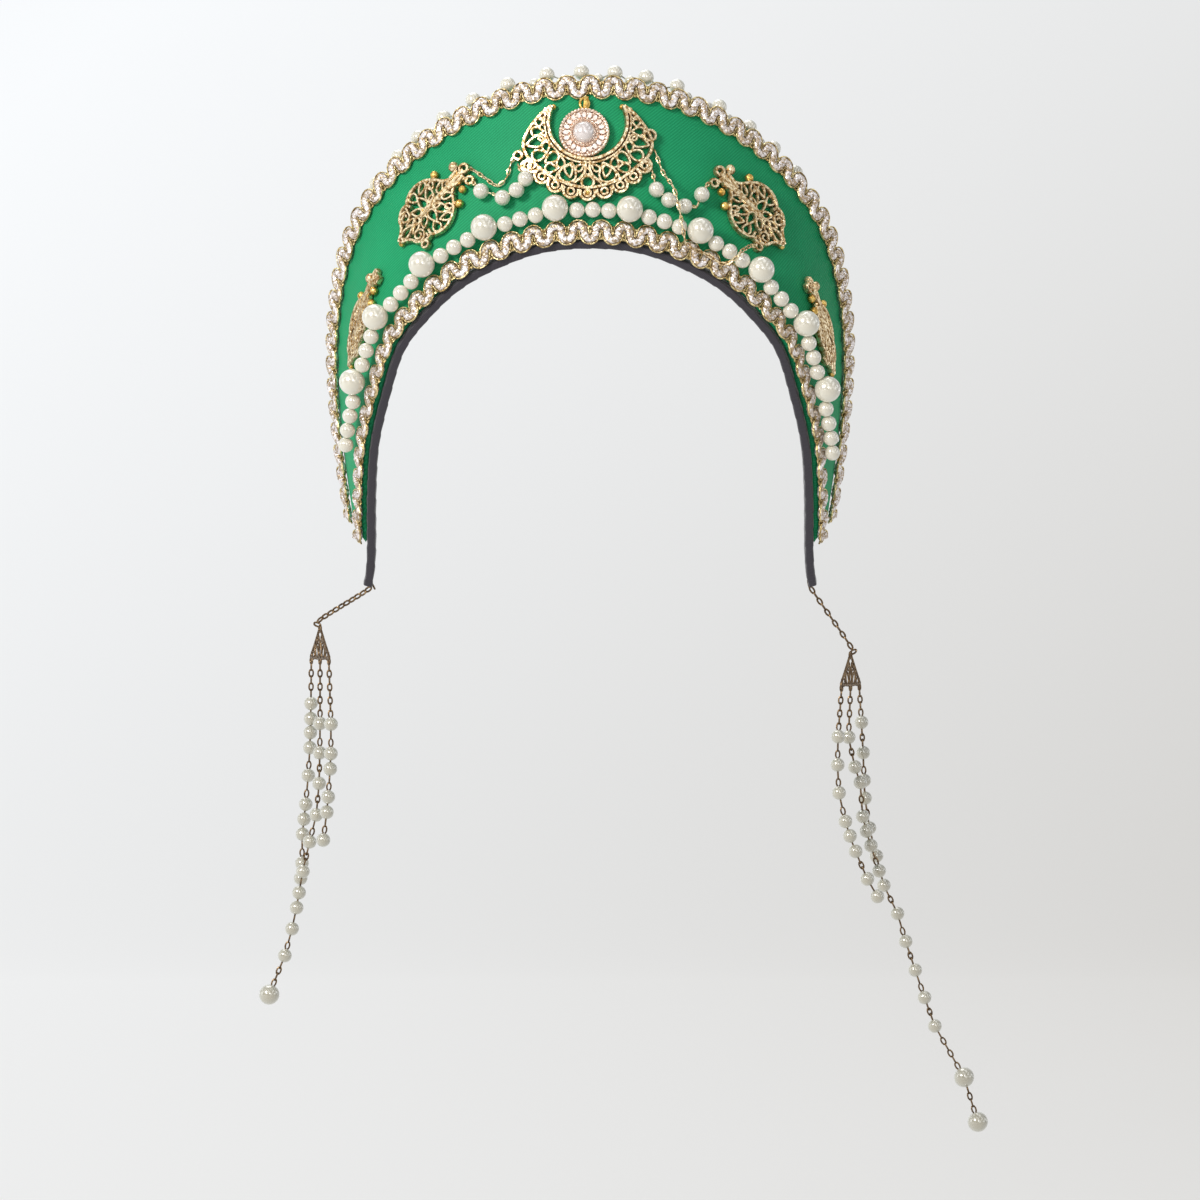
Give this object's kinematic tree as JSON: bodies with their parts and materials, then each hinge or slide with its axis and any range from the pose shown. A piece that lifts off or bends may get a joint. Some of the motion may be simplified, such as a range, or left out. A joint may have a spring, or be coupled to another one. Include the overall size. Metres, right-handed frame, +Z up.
{
  "type": "french hood",
  "caption": "Crescent headband in green satin with gimp braid edges, pearl strings, pierced gilt plates and hanging pearl strands.",
  "frame": {"origin": "underside of the headband at its highest point, where it sits on the head", "axes": "+Z up, the front looks towards -Y, +X to the right in the front view"},
  "size_m": [0.2879, 0.0954, 0.4145],
  "materials": {
    "green_satin": "satin twill with a soft sheen",
    "dark_ribbon": "wrapped ribbon, nearly black",
    "lurex_braid": "silver and gold lurex gimp braid",
    "ivory_pearl": "pearl lacquer, ivory",
    "pale_gold": "polished pale gilt",
    "rose_gold": "polished rose gilt",
    "dark_brass": "darkened old brass"
  },
  "bodies": {
    "root": {"hood_panel": "green_satin", "headband": "dark_ribbon", "outer_braid": "lurex_braid", "inner_braid": "lurex_braid", "pearl_row_left": "ivory_pearl", "pearl_row_right": "ivory_pearl", "rim_pearls": "ivory_pearl", "crescent_plate": "pale_gold", "medallion": "rose_gold", "leaf_plate_left": "pale_gold", "leaf_plate_right": "pale_gold", "side_plate_left": "pale_gold", "side_plate_right": "pale_gold", "swag_left": "ivory_pearl", "swag_right": "ivory_pearl", "drape_chain_left": "pale_gold", "drape_chain_right": "pale_gold", "end_chain_left": "dark_brass", "end_chain_right": "dark_brass", "side_connector_left": "dark_brass", "side_connector_right": "dark_brass", "strand_left_back": "ivory_pearl", "strand_left_middle": "ivory_pearl", "strand_left_front": "ivory_pearl", "strand_right_back": "ivory_pearl", "strand_right_middle": "ivory_pearl", "strand_right_front": "ivory_pearl"}
  },
  "joints": []
}
